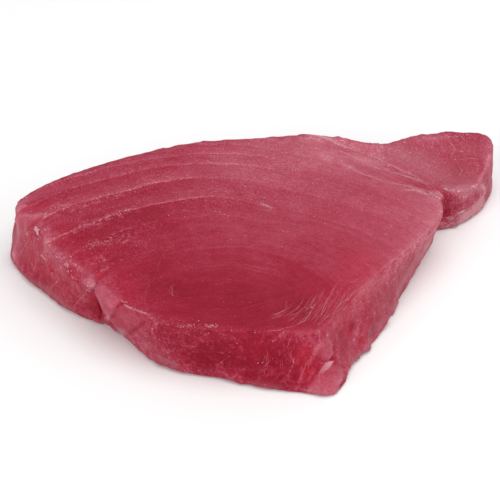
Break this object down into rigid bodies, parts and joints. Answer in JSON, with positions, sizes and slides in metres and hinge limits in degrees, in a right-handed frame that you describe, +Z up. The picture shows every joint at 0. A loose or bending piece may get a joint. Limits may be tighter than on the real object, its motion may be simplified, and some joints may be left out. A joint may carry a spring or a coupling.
{
  "type": "raw tuna loin",
  "caption": "Thick raw tuna loin cut: a flat slab of red flesh with a wedge-shaped outline and a thinner flap at one end, lying on its cut face.",
  "frame": {"origin": "centre of the bounding box on the plane of the underside, which rests on the table", "axes": "+X along the loin's length towards the flap, +Y towards the skin side, +Z up, through the thickness"},
  "size_m": [0.2142, 0.1566, 0.0264],
  "materials": {
    "flesh": null
  },
  "bodies": {
    "root": {"tuna_loin": "flesh"}
  },
  "joints": []
}
